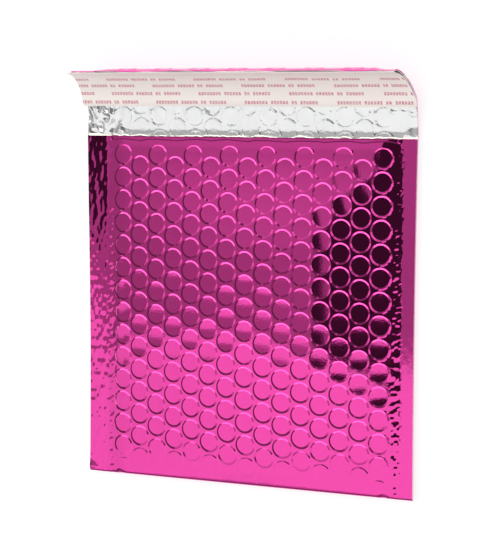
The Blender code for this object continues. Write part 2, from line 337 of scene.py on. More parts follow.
def back_place(x, along, depth):
    """Places on the back wall and the flap, depth below the inner face."""
    past = np.maximum(0, along - MOUTH)
    run = np.interp(past, PATH_ALONG, PATH_RUN)
    rise = np.interp(past, PATH_ALONG, PATH_RISE)
    angle = np.interp(past, PATH_ALONG, PATH_ANGLE)
    y = np.minimum(along, MOUTH) + run + np.sin(angle) * depth
    over = np.clip((past - FLAP_LENGTH + TIP_OVER_RUN) / TIP_OVER_RUN, 0, 1) ** 2
    y = y - TIP_OVER * over * np.clip(noise(x / TIP_OVER_LENGTH, x * 0, 82), 0, 1)
    z = FLOOR + rise - np.cos(angle) * depth + seal_curl(x, along)
    return np.stack([pulled_in(x, np.minimum(along, MOUTH)) - corner_bend(x, past), y, z], axis=1)


def film_place(x, web, out):
    """Places on the film's web, out above the grooves of its outer side."""
    outside = wall(x) + LAYER_GAP + FILM + out
    y = MOUTH - web
    front = front_place(x, y, front_wall(x, y) + LAYER_GAP + FILM + out)
    turn = np.clip((web - WEB_FOLD) / (WEB_BACK - WEB_FOLD), 0, 1) * math.pi
    fold_y = POCKET_END - (FOLD_REACH + out) * np.sin(turn)
    fold = np.stack([pulled_in(x, fold_y), fold_y, FLOOR + outside * np.cos(turn)], axis=1)
    along = POCKET_END + web - WEB_BACK
    wavy = smooth((along - TIP + TIP_WAVE_RUN) / TIP_WAVE_RUN)
    along = along + TIP_WAVE * noise(x / TIP_WAVE_LENGTH, x * 0, 81) * wavy
    at_tip = smooth((along - TIP + TIP_TAPER) / TIP_TAPER)
    gap = LAYER_GAP * (1 - (1 - TIP_GAP) * at_tip)
    back = back_place(x, along, flap_wall(x, along) + gap + FILM + out)
    places = np.where((web < WEB_FOLD)[:, None], front, fold)
    return np.where((web > WEB_BACK)[:, None], back, places)


def lattice(row_y, low, high):
    """Column number, row number and centre of each bubble between low and high."""
    for column in range(COLUMNS):
        x = LATTICE_X + (column - COLUMNS // 2) * PITCH * math.sqrt(3) / 2
        shifted = row_y + PITCH / 2 * (column % 2)
        for row in range(math.ceil((low - shifted) / PITCH), math.floor((high - shifted) / PITCH) + 1):
            yield column, row, x, shifted + row * PITCH


def bubble_points(row_y, low, high, rings, seed):
    """Flat points (x, y, relief, crease) of every bubble: rings round its centre, and the lows between.

    Points of one sharp rim have the same crease number, and 0 is for the others.
    """
    found = []
    for column, row, x, y in lattice(row_y, low, high):
        chance = [float(scattered(np.array([column]), np.array([row]), seed + k)[0]) for k in range(4)]
        tilt_x, tilt_y = (TILT * (2 * c - 1) for c in chance[:2])
        dish = DISH * (0.7 + 0.6 * chance[2])
        squeeze = 1 + SQUEEZE * (chance[3] - 0.5)
        turned = float(smooth((y - CAP_TURN_START) / CAP_TURN_RUN))
        cap_x, cap_y = (a * turned + b * (1 - turned) for a, b in zip(HIGH_CAP_SHIFT, LOW_CAP_SHIFT))
        found.append((x, y, RELIEF - dish, 0))
        for radius, share, sides in rings:
            crease = 0
            if radius in CREASED_RADII:
                bubble = column + COLUMNS * (row - LOWEST_ROW)
                crease = 1 + CREASED_RADII.index(radius) + 2 * bubble
            shift = min(1.0, (FOOT_RADIUS - radius) / (FOOT_RADIUS - TOP_RADIUS))
            for k in range(sides):
                turn = 2 * math.pi * k / sides
                dx = radius * math.cos(turn) * squeeze
                dy = radius * math.sin(turn) / squeeze
                inside = min(1.0, radius / TOP_RADIUS)
                top = RELIEF - dish * (1 - inside**2) + tilt_x * dx + tilt_y * dy
                dx, dy = dx + cap_x * shift, dy + cap_y * shift
                found.append((x + dx, y + dy, top * share, crease))
        for turn in (0, math.pi / 3):
            corner = PITCH / math.sqrt(3)
            found.append((x + corner * math.cos(turn), y + corner * math.sin(turn), 0.0, 0))
    return np.array(found)


def net_points(across, along):
    """Every pair of a value across and a value along."""
    return np.stack(np.meshgrid(across, along), axis=-1).reshape(-1, 2)


def filler_points(left, right, low, high, spacing, centres):
    """An even net of points over a stretch, without those that fall on the bubbles round these centres."""
    across = np.arange(left + spacing / 2, right, spacing)
    along = np.arange(low + spacing / 2, high, spacing)
    net = net_points(across, along)
    if len(centres):
        reach = np.full(len(net), 1e9)
        for centre in centres:
            reach = np.minimum(reach, np.hypot(net[:, 0] - centre[0], net[:, 1] - centre[1]))
        net = net[reach > FOOT_RADIUS + 0.25]
    return net


def rim_round(across, along):
    """The points of a net's outline, in order."""
    rim = [(x, along[0]) for x in across]
    rim += [(across[-1], y) for y in along[1:]]
    rim += [(x, along[-1]) for x in across[-2::-1]]
    rim += [(across[0], y) for y in along[-2:0:-1]]
    return np.array(rim)


def rim_points(left, right, low, high, spacing):
    """Evenly spaced points round a rectangle, in order."""
    across = np.linspace(left, right, round((right - left) / spacing) + 1)
    along = np.linspace(low, high, round((high - low) / spacing) + 1)
    return rim_round(across, along)


def triangulated(points):
    """Triangles between flat points, as triples of the points' own numbers."""
    _, _, faces, sources, *_ = delaunay_2d_cdt([Vector(p) for p in points], [], [], 0, 1e-7)
    number = [source[0] for source in sources]
    return [[number[k] for k in face] for face in faces]


# Edges bent further than this stay sharp, and border points nearer than this in metres are joined
SHARP_ANGLE = math.radians(50)
WELD = 2e-6


def piece_from(name, places, faces, flat, slot, finish, crease=None):
    """A closed piece in the shared frame, with its flat coordinates kept as a UV map.

    An edge between two points of the same crease number, 0 apart, is left sharp.
    """
    mesh = bpy.data.meshes.new(name)
    mesh.from_pydata([Vector(p) * MM + MIDDLE for p in places], [], faces)
    layer = mesh.uv_layers.new(name="flat")
    corners = np.empty(len(mesh.loops), dtype=np.int32)
    mesh.loops.foreach_get("vertex_index", corners)
    layer.data.foreach_set("uv", (np.asarray(flat)[corners] * MM).astype(np.float32).ravel())
    shape = bmesh.new()
    shape.from_mesh(mesh)
    if crease is not None:
        for edge in shape.edges:
            one, other = (crease[v.index] for v in edge.verts)
            edge.smooth = not (one and one == other)
    for edge in shape.edges:
        if edge.calc_face_angle(0) > SHARP_ANGLE:
            edge.smooth = False
    bmesh.ops.remove_doubles(shape, verts=[v for v in shape.verts if v.is_boundary], dist=WELD)
    loose = [v for v in shape.verts if not v.link_faces]
    bmesh.ops.delete(shape, geom=loose, context="VERTS")
    bmesh.ops.recalc_face_normals(shape, faces=shape.faces)
    shape.to_mesh(mesh)
    shape.free()
    for face in mesh.polygons:
        face.use_smooth = True
    mesh.materials.append(finish)
    made = bpy.data.objects.new(name, mesh)
    bpy.context.scene.collection.objects.link(made)
    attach(made, "root")
    return made


class Nodes:
    """A material's or world's nodes, added one line each."""

    def __init__(self, owner):
        owner.use_nodes = True
        self.tree = owner.node_tree
        self.tree.nodes.clear()

    def add(self, kind, inputs=(), **settings):
        made = self.tree.nodes.new(kind)
        for name, value in settings.items():
            setattr(made, name, value)
        for key, value in dict(inputs).items():
            if isinstance(value, bpy.types.NodeSocket):
                self.tree.links.new(value, made.inputs[key])
            else:
                made.inputs[key].default_value = value
        return made

    def math(self, operation, a, b=0.0, c=0.0):
        return self.add("ShaderNodeMath", {0: a, 1: b, 2: c}, operation=operation).outputs[0]

    def ramp(self, value, low, high, start=0.0, end=1.0):
        """A soft step from start to end as value goes from low to high."""
        inputs = {"Value": value, "From Min": low, "From Max": high, "To Min": start, "To Max": end}
        return self.add("ShaderNodeMapRange", inputs, interpolation_type="SMOOTHSTEP").outputs[0]

    def blend(self, share, a, b):
        """a where share is 0, b where it is 1, for numbers."""
        return self.add("ShaderNodeMix", {0: share, 2: a, 3: b}, data_type="FLOAT").outputs[0]

    def blend_colour(self, share, a, b):
        return self.add("ShaderNodeMix", {0: share, 6: a, 7: b}, data_type="RGBA").outputs[2]

    def noise(self, vector, scale, detail=2.0, roughness=0.5):
        inputs = {"Vector": vector, "Scale": scale, "Detail": detail, "Roughness": roughness}
        return self.add("ShaderNodeTexNoise", inputs).outputs["Fac"]

    def flat(self):
        """The surface's flat coordinates, in millimetres."""
        flat = self.add("ShaderNodeUVMap", uv_map="flat").outputs[0]
        return self.add("ShaderNodeVectorMath", {0: flat, 3: 1 / MM}, operation="SCALE").outputs[0]

    def finish(self, shader):
        self.add("ShaderNodeOutputMaterial", {"Surface": shader})


def foil_material():
    """Metallised film under clear lacquer, with the fine unevenness of the laminated sheet."""
    made = bpy.data.materials.new("pink_foil")
    nodes = Nodes(made)
    flat = nodes.flat()
    fine = nodes.noise(flat, 0.9, 3.0)
    slow = nodes.noise(flat, 0.03, 2.0)
    colour = nodes.blend_colour(slow, (0.92, 0.045, 0.42, 1), (0.96, 0.055, 0.44, 1))
    roughness = nodes.ramp(fine, 0.3, 0.8, 0.035, 0.07)
    bump = nodes.add("ShaderNodeBump", {"Strength": 0.2, "Distance": 0.00004, "Height": fine})
    shader = nodes.add(
        "ShaderNodeBsdfPrincipled",
        {
            "Base Color": colour,
            "Metallic": 1.0,
            "Roughness": roughness,
            "Normal": bump.outputs[0],
            "Coat Weight": 0.8,
            "Coat Roughness": 0.03,
        },
    )
    nodes.finish(shader.outputs[0])
    return made


def lining_material():
    """Silvery polythene: mostly metal, a little milky film."""
    made = bpy.data.materials.new("silver_lining")
    nodes = Nodes(made)
    flat = nodes.flat()
    fine = nodes.noise(flat, 0.45, 2.0)
    slow = nodes.noise(flat, 0.12, 2.0)
    colour = nodes.blend_colour(slow, (0.84, 0.86, 0.85, 1), (0.93, 0.93, 0.93, 1))
    bump = nodes.add("ShaderNodeBump", {"Strength": 0.3, "Distance": 0.00015, "Height": fine})
    shader = nodes.add(
        "ShaderNodeBsdfPrincipled",
        {
            "Base Color": colour,
            "Metallic": 0.82,
            "Roughness": nodes.ramp(fine, 0.3, 0.8, 0.07, 0.16),
            "Normal": bump.outputs[0],
        },
    )
    nodes.finish(shader.outputs[0])
    return made


# Print on the liner: rows of blocks, in groups of (first block, number of blocks)
PRINT_ROWS = 4
PRINT_ROW_PITCH = 5.05
PRINT_FIRST_ROW = 2.3
PRINT_HEIGHT = 1.9
PHRASE_PERIOD = 49.5
LETTER = 1.58
LETTER_BODY = 1.2
WORDS = ((0, 8), (9, 6), (16, 2), (19, 6))


def liner_material():
    """Pale release film with four rows of small plain blocks, in word-like groups."""
    made = bpy.data.materials.new("release_liner")
    nodes = Nodes(made)
    flat = nodes.flat()
    parts = nodes.add("ShaderNodeSeparateXYZ", {0: flat})
    lowest = MOUTH + LINER_START + PRINT_FIRST_ROW - PRINT_HEIGHT / 2
    rows = nodes.math("DIVIDE", nodes.math("SUBTRACT", parts.outputs[1], lowest), PRINT_ROW_PITCH)
    row = nodes.math("FLOOR", rows)
    in_row = nodes.math("MULTIPLY", nodes.math("FRACT", rows), PRINT_ROW_PITCH)
    # Whole periods are added before each remainder is taken, so that it is taken of a number above 0
    odd = nodes.math("MODULO", nodes.math("ADD", row, 2.0 * PRINT_ROWS), 2.0)
    shift = nodes.math("MULTIPLY", odd, PHRASE_PERIOD / 2)
    along = nodes.math("ADD", nodes.math("ADD", parts.outputs[0], shift), 20 * PHRASE_PERIOD)
    in_phrase = nodes.math("MODULO", along, PHRASE_PERIOD)
    letter = nodes.math("DIVIDE", in_phrase, LETTER)
    in_letter = nodes.math("MULTIPLY", nodes.math("FRACT", letter), LETTER)
    number = nodes.math("FLOOR", letter)
    inked = 0.0
    for first, count in WORDS:
        after = nodes.math("GREATER_THAN", number, first - 0.5)
        before = nodes.math("LESS_THAN", number, first + count - 0.5)
        inked = nodes.math("ADD", nodes.math("MULTIPLY", after, before), inked)
    wide = nodes.math("LESS_THAN", in_letter, LETTER_BODY)
    high = nodes.math("LESS_THAN", in_row, PRINT_HEIGHT)
    below_last = nodes.math("LESS_THAN", row, PRINT_ROWS - 0.5)
    within = nodes.math("MULTIPLY", nodes.math("GREATER_THAN", row, -0.5), below_last)
    block = nodes.math("MULTIPLY", nodes.math("MULTIPLY", wide, high), nodes.math("MULTIPLY", inked, within))
    worn = nodes.noise(flat, 1.3, 2.0)
    ink = nodes.math("MULTIPLY", block, nodes.ramp(worn, 0.35, 0.65, 0.4, 0.95))
    slow = nodes.noise(flat, 0.06, 2.0)
    paper = nodes.blend_colour(slow, (0.97, 0.86, 0.84, 1), (0.98, 0.93, 0.86, 1))
    colour = nodes.blend_colour(ink, paper, (0.62, 0.16, 0.25, 1))
    cockle = nodes.noise(flat, 0.3, 3.0)
    bump = nodes.add("ShaderNodeBump", {"Strength": 0.2, "Distance": 0.0001, "Height": cockle})
    shader = nodes.add(
        "ShaderNodeBsdfPrincipled",
        {"Base Color": colour, "Roughness": 0.42, "Normal": bump.outputs[0]},
    )
    nodes.finish(shader.outputs[0])
    return made


def adhesive_material():
    """Clear sticky strip with a fine grain."""
    made = bpy.data.materials.new("adhesive")
    nodes = Nodes(made)
    fine = nodes.noise(nodes.add("ShaderNodeTexCoord").outputs["Object"], 900.0, 3.0)
    colour = nodes.blend_colour(fine, (0.80, 0.77, 0.66, 1), (0.88, 0.86, 0.78, 1))
    bump = nodes.add("ShaderNodeBump", {"Strength": 0.3, "Distance": 0.0001, "Height": fine})
    shader = nodes.add(
        "ShaderNodeBsdfPrincipled",
        {"Base Color": colour, "Roughness": 0.3, "Normal": bump.outputs[0]},
    )
    nodes.finish(shader.outputs[0])
    return made


# Crinkles of the film: heights, one side's share of them, and places and widths of their bands
SEAL_SPECKLE = 0.055
RIGHT_SPECKLE = 0.08
SEAL_CRINKLE = 0.09
SEAL_TICK = 0.08
LEFT_TICK = 0.6
BESIDE_SEAL = 2.2
BESIDE_SEAL_WIDTH = 1.8
SEAM_WIDTH = 1.3


def band(x, middle, width):
    """1 in the middle of a band, falling off softly on both sides of it."""
    return np.exp(-(((x - middle) / width) ** 2))


def film_crinkles(x, web):
    """Small folds of the film in and beside the seals. The noises' divisors are lengths in millimetres."""
    left = band(x, LEFT_SEAM + BESIDE_SEAL, BESIDE_SEAL_WIDTH)
    right = band(x, RIGHT_SEAM - BESIDE_SEAL, BESIDE_SEAL_WIDTH)
    lumps = noise(x / 1.5, web / 1.3, 11) + 0.5 * noise(x / 2.4, web / 2.9, 12)
    height = SEAL_CRINKLE * (left + right) * lumps
    at_seam = band(x, RIGHT_SEAM, SEAM_WIDTH) + LEFT_TICK * band(x, LEFT_SEAM, SEAM_WIDTH)
    height += SEAL_TICK * at_seam * creases(x / 3.7, web / 2.3, 15) ** 6
    in_left = smooth((LEFT_SEAM + 0.3 - x) / 1.2)
    in_right = smooth((x - RIGHT_SEAM - 0.2) / 1.0)
    speckle = noise(x / 1.1, web / 2.3, 13) + 0.5 * noise(x / 2.1, web / 4, 14)
    height += SEAL_SPECKLE * (in_left + RIGHT_SPECKLE * in_right) * speckle
    return height


def beside_seals(x):
    """1 over the pocket's middle, falling to 0 at both seals."""
    return smooth((x - LEFT_SEAM) / LEFT_FADE) * smooth((RIGHT_SEAM - x) / RIGHT_FADE)


def front_bubbles():
    """Points (x, web) of the front's bubbles, how far each stands out, and crease numbers."""
    found = bubble_points(FRONT_ROW_Y, *FRONT_SPAN, FRONT_RINGS, 21)
    web = MOUTH - found[:, 1]
    kept = (web > MOUTH_BAND) & (web < WEB_FOLD)
    x, web, out, crease = found[kept, 0], web[kept], found[kept, 2], found[kept, 3]
    y = MOUTH - web
    out = out * beside_seals(x)
    out = out * smooth((MOUTH - MOUTH_FADE_END - y) / MOUTH_FADE)
    out = out * smooth((y + MOUTH - FOLD_FADE_END) / FOLD_FADE)
    return np.stack([x, web], axis=1), out, crease


def back_bubbles():
    """The same for the back and the flap, with crease numbers below 0."""
    found = bubble_points(BACK_ROW_Y, *BACK_SPAN, BACK_RINGS, 31)
    web = WEB_BACK + found[:, 1] - POCKET_END
    kept = (web > WEB_BACK) & (web < WEB_TIP - 0.4)
    x, web, out, crease = found[kept, 0], web[kept], found[kept, 2], -found[kept, 3]
    along = POCKET_END + web - WEB_BACK
    out = out * beside_seals(x)
    out = out * smooth((TIP - TIP_FADE_END - along) / TIP_FADE)
    out = out * smooth((along + MOUTH - BACK_FADE_END) / BACK_FADE)
    return np.stack([x, web], axis=1), out, crease


# Spacing of the film's points outside the bubbles
RIM_NET = 0.8
STEP_NET = 0.4
FRONT_NET = 0.62
FOLD_END_NET = 1.0
FOLD_NET = 0.8
BACK_SIDE_NET = 1.2
BACK_NET = 2.0
UNDER_NET = 6.0
UNDER_FLAP_NET = 2.0
UNDER_MOUTH_NET = (1.2, 0.45)


def film_fillers():
    """Points (x, web) of the parts that the bubbles leave free, but none on the mouth's step."""
    front = [(x, MOUTH - y) for _, _, x, y in lattice(FRONT_ROW_Y, *FRONT_SPAN)]
    back = [(x, WEB_BACK + y - POCKET_END) for _, _, x, y in lattice(BACK_ROW_Y, *BACK_SPAN)]
    first, last = front[0][0], front[-1][0]
    stretches = (
        (LEFT_EDGE, first, 0, WEB_BACK, FRONT_NET, front),
        (last, RIGHT_EDGE, 0, WEB_BACK, FRONT_NET, front),
        (first, last, MOUTH_BAND, 8, FRONT_NET, front),
        (LEFT_SEAM, RIGHT_SEAM, 0.6, MOUTH_BAND, STEP_NET, []),
        (first, last, WEB_FOLD - 6, WEB_FOLD, FOLD_END_NET, front),
        (first, last, WEB_FOLD, WEB_BACK, FOLD_NET, []),
        (LEFT_EDGE, first, WEB_BACK, WEB_TIP, BACK_SIDE_NET, back),
        (last, RIGHT_EDGE, WEB_BACK, WEB_TIP, BACK_SIDE_NET, back),
        (first, last, WEB_BACK, WEB_TIP, BACK_NET, back),
    )
    filler = np.concatenate([filler_points(*stretch) for stretch in stretches])
    clear = np.abs(filler[:, 1] - step_web(filler[:, 0])) > STEP_RUN / 2 + 0.25
    return filler[clear | (filler[:, 1] > MOUTH_BAND + 1.5)]


def film_underside(rim):
    """Points (x, web) of the film's inner side: a coarse net, closer at the fold, the flap and the mouth."""
    x = np.arange(LEFT_EDGE + 4, RIGHT_EDGE - 2, UNDER_NET)
    web = np.concatenate(
        [
            np.arange(4.3, WEB_FOLD - 1, UNDER_NET),
            np.linspace(WEB_FOLD, WEB_BACK, 9),
            np.arange(WEB_BACK + 4, WEB_TIP - 44, UNDER_NET),
            np.arange(WEB_TIP - 42, WEB_TIP - 1, UNDER_FLAP_NET),
        ]
    )
    # It follows the mouth's step closely, so that it stays under the outer side
    mouth_x = np.arange(LEFT_EDGE + 1, RIGHT_EDGE - 0.6, UNDER_MOUTH_NET[0])
    mouth_web = np.arange(0.45, 3.7, UNDER_MOUTH_NET[1])
    return np.concatenate([rim, net_points(mouth_x, mouth_web), net_points(x, web)])


def outer_film(finish):
    """The whole film as one closed web, with its bubbles, seals and crinkles."""
    rim = rim_points(LEFT_EDGE, RIGHT_EDGE, 0, WEB_TIP, RIM_NET)
    front, front_out, front_crease = front_bubbles()
    back, back_out, back_crease = back_bubbles()
    rows = mouth_rows()
    filler = film_fillers()
    on_rim, on_rows, on_filler = (np.zeros(len(group)) for group in (rim, rows, filler))
    points = np.concatenate([rim, front, back, rows[:, :2], filler])
    out = np.concatenate([on_rim, front_out, back_out, on_rows, on_filler])
    crease = np.concatenate([on_rim, front_crease, back_crease, rows[:, 2], on_filler])
    inside = (points[:, 0] > LEFT_EDGE + 0.3) & (points[:, 0] < RIGHT_EDGE - 0.3)
    inside &= (points[:, 1] > EDGE_RUN - 0.01) & (points[:, 1] < WEB_TIP - 0.3)
    inside[: len(rim)] = True
    points, out, crease = points[inside], out[inside], crease[inside]
    out = out + film_crinkles(points[:, 0], points[:, 1])

    under = film_underside(rim)
    under_out = -FILM + film_crinkles(under[:, 0], under[:, 1]) * 0.5
    crease = np.concatenate([crease, np.zeros(len(under))])
    sides = (points, out, under, under_out)
    return sheet_piece("foil", *sides, len(rim), film_place, "pink_film", finish, crease)


def sheet_piece(name, over, over_out, under, under_out, rim_count, place, slot, finish, crease=None):
    """A closed thin piece between two triangulated sides that share their rim's points."""
    over_places = place(over[:, 0], over[:, 1], over_out)
    under_places = place(under[:, 0], under[:, 1], under_out)
    faces = triangulated(over)
    shift = len(over)
    faces += [[k + shift for k in reversed(face)] for face in triangulated(under)]
    for k in range(rim_count):
        after = (k + 1) % rim_count
        faces.append([k, k + shift, after + shift, after])
    places = np.concatenate([over_places, under_places])
    flat = np.concatenate([over, under])
    return piece_from(name, places, faces, flat, slot, finish, crease)


def grid(across, along, place):
    """Places, quads and flat coordinates over every cell of the two lists."""
    net = net_points(across, along)
    wide = len(across)
    quads = [
        [j * wide + i, j * wide + i + 1, (j + 1) * wide + i + 1, (j + 1) * wide + i]
        for j in range(len(along) - 1)
        for i in range(wide - 1)
    ]
    return place(net[:, 0], net[:, 1]), quads, net


def between(one, other, flat):
    """Quads between two rows of places with as many points each."""
    count = len(one)
    quads = [[k, k + 1, count + k + 1, count + k] for k in range(count - 1)]
    return np.concatenate([one, other]), quads, np.concatenate([flat, flat])


def line(xs, ys):
    """Flat points in a row: one of the two may be a single value."""
    return np.stack(np.broadcast_arrays(xs, ys), axis=1).astype(float)


def strip(one, other, flat):
    """Quads between two faces, each given by its place function, along a row of flat points."""
    return between(one(*flat.T), other(*flat.T), flat)


def joined(name, patches, slot, finish):
    """One closed piece from patches of places, faces and flat coordinates whose borders meet."""
    places, faces, flats = [], [], []
    shift = 0
    for patch_places, patch_faces, patch_flat in patches:
        places.append(patch_places)
        flats.append(patch_flat)
        faces += [[k + shift for k in face] for face in patch_faces]
        shift += len(patch_places)
    return piece_from(name, np.concatenate(places), faces, np.concatenate(flats), slot, finish)


# The lining's rings as (radius, share of the height, points round), its crinkles' heights, and how
# far its lip waves along and up
RING_HEIGHT = 0.16
RING_SHARES = ((2.5, 0.0, 12), (4.2, 0.0, 24), (4.5, 0.1, 30), (4.8, 1.0, 30), (5.1, 0.1, 30), (5.5, 0.0, 24))
LINING_CRINKLE = 0.10
SEALED_CRINKLE = 0.3
LEFT_END_CRINKLE = 1.1
NEAR_LINER_CRINKLE = 0.35
LIP_WAVE = 0.6
LIP_RISE = 0.45


def inner_face(x, along):
    """Height of the lining's crinkles on the flap's inner face, most at the left end and at the liner."""
    past = smooth((along - LINING_MOUTH) / 1.0)
    under_liner = smooth((along - MOUTH - LINER_START + 0.5) / 1.0)
    beyond_liner = smooth((along - MOUTH - LINER_START - LINER_WIDTH) / 1.0)
    free = past * (1 - under_liner + beyond_liner)
    sealed = np.maximum(smooth((LEFT_SEAM + 4 - x) / 5), smooth((x - RIGHT_SEAM + 3) / 4))
    left_end = smooth((LEFT_SEAM + 16 - x) / 14)
    height = LINING_CRINKLE * (creases(x / 5, along / 4, 41) - 0.7)
    height += SEALED_CRINKLE * sealed * (creases(x / 4.2, along / 3.4, 42) - 0.55)
    height += LEFT_END_CRINKLE * left_end * (creases(x / 3.6, along / 5.2, 43) ** 2 - 0.3)
    near_liner = band(along, MOUTH + LINER_START - 3, 2.2)
    height += NEAR_LINER_CRINKLE * near_liner * (creases(x / 3.7, along / 7, 44) ** 3 - 0.3)
    return height * free


def lip(x, y):
    """The lip's waves: how far it moves along and up."""
    free = smooth(np.minimum(x - LEFT_SEAM, RIGHT_SEAM - x) / 4) * smooth((y - MOUTH + 2) / 2.6)
    along = LIP_WAVE * free * (noise(x / 3.1, y * 0, 51) + 0.5 * noise(x / 1.2, y * 0, 52))
    up = LIP_RISE * free * noise(x / 1.4, y * 0, 53)
    return along, up


def lining_front(x, y, height):
    """Places on the lining's front wall, height above its inner face, with the wavy lip."""
    along, up = lip(x, y)
    places = front_place(x, y, height)
    places[:, 1] += along
    places[:, 2] += up
    return places


# The lining's four faces, as functions that place flat points


def front_outside(x, y):
    return lining_front(x, y, front_wall(x, y))


def front_inside(x, y):
    return lining_front(x, y, 0 * x)


def shorter(y):
    """The lining ends a little before the film at the flap's tip."""
    return y - LINING_SHORTFALL * smooth((y - TIP + 4) / 4)


def back_outside(x, y):
    return back_place(x, shorter(y), flap_wall(x, y))


def back_inside(x, y):
    return back_place(x, shorter(y), -inner_face(x, y))


def seal_end(x, along):
    """The lining's sealed side edge at x, closed at the mouth by one five-sided face."""
    side = line(x, along)
    upper, lower, middle = (place(*side.T) for place in (front_outside, back_outside, back_inside))
    corner = np.stack([upper[-2], upper[-1], middle[-1], lower[-1], lower[-2]])
    return [
        between(upper[:-1], lower[:-1], side[:-1]),
        (corner, [[0, 1, 2, 3, 4]], line(x, np.full(5, LINING_MOUTH))),
    ]


def lining_fold(across):
    """The half-round outside of the lining's fold, and its two ends."""
    arcs = []
    for turn in np.linspace(0, math.pi, 9):
        x = pulled_in(across, np.full(len(across), POCKET_END))
        y = np.full(len(across), POCKET_END - LINING * math.sin(turn))
        z = FLOOR + wall(across) * math.cos(turn)
        arcs.append(np.stack([x, y, z], axis=1))
    patches = [between(one, other, line(across, POCKET_END)) for one, other in zip(arcs, arcs[1:])]
    for k in (0, -1):
        end = np.stack([arc[k] for arc in arcs])
        patches.append((end, [list(range(len(end)))], line(across[k], np.full(len(end), POCKET_END))))
    return patches


def bubble_lining(finish):
    """The lining: the pocket's two walls, sealed at the sides, and the flap's inner face."""
    inner_x = np.linspace(LEFT_SEAM, RIGHT_SEAM, 200)
    left_x = np.linspace(LEFT_EDGE, LEFT_SEAM, 15)
    right_x = np.linspace(RIGHT_SEAM, RIGHT_EDGE, 11)
    all_x = np.concatenate([left_x[:-1], inner_x, right_x[1:]])
    near_mouth = np.linspace(MOUTH - 5, LINING_MOUTH, 7)
    body_y = np.concatenate([np.linspace(POCKET_END, MOUTH - 6, 12), near_mouth])
    flap_y = np.linspace(LINING_MOUTH, TIP, 50)
    web_y = np.concatenate([body_y[:-1], flap_y])
    patches = [
        grid(all_x, body_y, front_outside),
        grid(all_x, web_y, back_outside),
        grid(inner_x, body_y, front_inside),
        grid(inner_x, body_y, back_inside),
        strip(front_outside, front_inside, line(inner_x, LINING_MOUTH)),
        strip(back_outside, back_inside, line(all_x, TIP)),
        flap_face(all_x, flap_y),
    ]
    for xs in (left_x, right_x):
        patches.append(strip(front_outside, back_inside, line(xs, LINING_MOUTH)))
    for x in (LEFT_EDGE, RIGHT_EDGE):
        patches.append(strip(back_outside, back_inside, line(x, flap_y)))
        patches += seal_end(x, body_y)
    patches += lining_fold(all_x)
    return joined("lining", patches, "silver_lining", finish)


def ring_strength(column, row, turn):
    """How clearly a bubble's outline shows at this turn round it."""
    place = np.array([column * 7.0 + 1.3 * math.cos(turn)]), np.array([row * 5.0 + 1.3 * math.sin(turn)])
    return 0.6 + 0.6 * float(noise(*place, 91)[0])


def flap_face(across, along):
    """The flap's inner face, with the round outlines of the bubbles behind it."""
    rim = rim_round(across, along)
    found = []
    centres = []
    for column, row, x, y in lattice(BACK_ROW_Y, along[0] - 5, TIP + 5):
        centres.append((x, y))
        found.append((x, y, 0.0))
        for radius, share, sides in RING_SHARES:
            for k in range(sides):
                turn = 2 * math.pi * k / sides
                height = share * RING_HEIGHT * ring_strength(column, row, turn)
                found.append((x + radius * math.cos(turn), y + radius * math.sin(turn), height))
    found = np.array(found)
    filler = filler_points(across[0], across[-1], along[0], along[-1], 0.9, centres)
    filler = np.concatenate([filler, np.zeros((len(filler), 1))], axis=1)
    found = np.concatenate([found, filler])
    inside = (found[:, 0] > across[0] + 0.3) & (found[:, 0] < across[-1] - 0.3)
    inside &= (found[:, 1] > along[0] + 0.3) & (found[:, 1] < along[-1] - 0.3)
    found = found[inside]
    x, y = found[:, 0], found[:, 1]
    free = smooth((y - LINING_MOUTH) / 0.8) * (1 - smooth((y - MOUTH - LINER_START) / 0.6))
    free *= smooth((x - LEFT_SEAM - 1) / 2) * smooth((RIGHT_SEAM - 1 - x) / 2)
    points = np.concatenate([rim, found[:, :2]])
    out = np.concatenate([np.zeros(len(rim)), found[:, 2] * free])
    places = back_place(points[:, 0], points[:, 1], -inner_face(points[:, 0], points[:, 1]) - out)
    last = points[:, 1] > TIP - 4
    places[last] = back_inside(points[last, 0], points[last, 1])
    places[: len(rim)] = back_inside(rim[:, 0], rim[:, 1])
    return places, triangulated(points), points


# The release liner ends just before the flap's tip, and both its long edges bend down to the flap
LINER_MARGIN = 0.2
LINER_EDGE = 2.2
LINER_DROOP = 0.85
LINER_NET = 1.2


def release_liner(finish):
    """The peel-off strip, slightly wavy, longer than the flap is wide."""
    left, right = LEFT_EDGE - LINER_OVERHANG, RIGHT_EDGE
    start, end = MOUTH + LINER_START, TIP - LINER_MARGIN
    base = 2 * LAYER_GAP + ADHESIVE_THICKNESS
    across = np.arange(left + LINER_NET, right - LINER_NET / 2, LINER_NET)
    along = np.linspace(start, end, 24)[1:-1]
    rim = rim_points(left, right, start, end, LINER_NET)
    points = np.concatenate([rim, net_points(across, along)])

    def place(x, y, out):
        wave = 0.12 * (noise(x / 16, y / 9, 61) + 1) + 0.05 * (noise(x / 5, y / 5, 62) + 1)
        from_edge = np.minimum(y - start, end - y) / LINER_EDGE
        wave = wave * smooth(from_edge) - LINER_DROOP * (1 - smooth(from_edge))
        places = back_place(0 * x, y, -(base + wave + out))
        places[:, 0] = x - corner_bend(x, y - MOUTH)
        return places

    top = np.full(len(points), LINER_THICKNESS)
    bottom = np.zeros(len(points))
    return sheet_piece("liner", points, top, points, bottom, len(rim), place, "liner_film", finish)


# Camera: it aims at a point near the middle of the body, in millimetres
CAMERA_YAW = math.radians(23.66)
CAMERA_PITCH = math.radians(5.35)
CAMERA_ROLL = math.radians(0.33)
CAMERA_DISTANCE = 905.5
CAMERA_AIM = (-1.2, 17.1)
CAMERA_LENS = 115.0
CAMERA_SENSOR = 36.0

